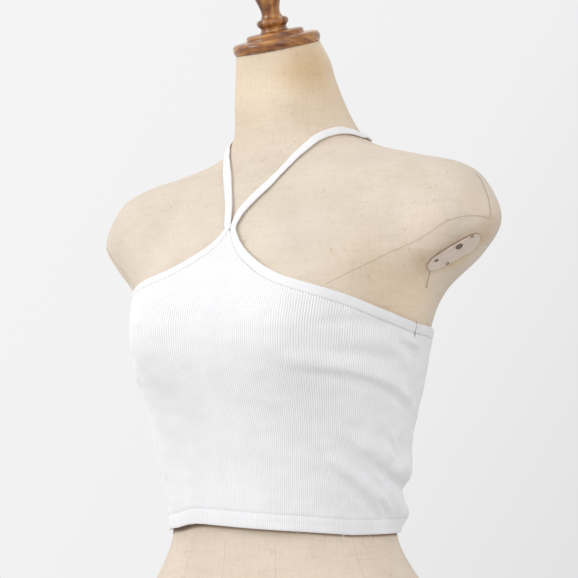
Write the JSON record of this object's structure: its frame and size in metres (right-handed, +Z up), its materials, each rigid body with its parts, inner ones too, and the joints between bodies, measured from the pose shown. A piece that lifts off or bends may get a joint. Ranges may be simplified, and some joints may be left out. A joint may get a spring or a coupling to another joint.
{
  "type": "halter neck top on a limbless dress form",
  "caption": "Fine-ribbed knit halter neck crop top with a Y front and narrow neck straps, on a limbless linen dress form with a turned wooden neck cap; stands on its flat base.",
  "frame": {"origin": "on the flat underside of the dress form, below the middle of its waist", "axes": "+Z up, -Y out of the front of the body, +X towards the wearer's left"},
  "size_m": [0.4114, 0.2357, 0.7025],
  "materials": {
    "rib_knit": "white cotton rib knit, matt, soft",
    "binding": "white knitted binding, matt, topstitched",
    "linen": "pale beige plain weave linen with slubs",
    "plate": "pale matt plate",
    "wood": "turned, stained brown and polished"
  },
  "bodies": {
    "root": {"front_panel": "rib_knit", "back_panel": "rib_knit", "strap_left": "binding", "strap_right": "binding", "binding_back": "binding", "dress_form": "linen", "arm_plate_left": "plate", "arm_plate_right": "plate", "neck_cap": "wood", "neck_knob": "wood"}
  },
  "joints": []
}
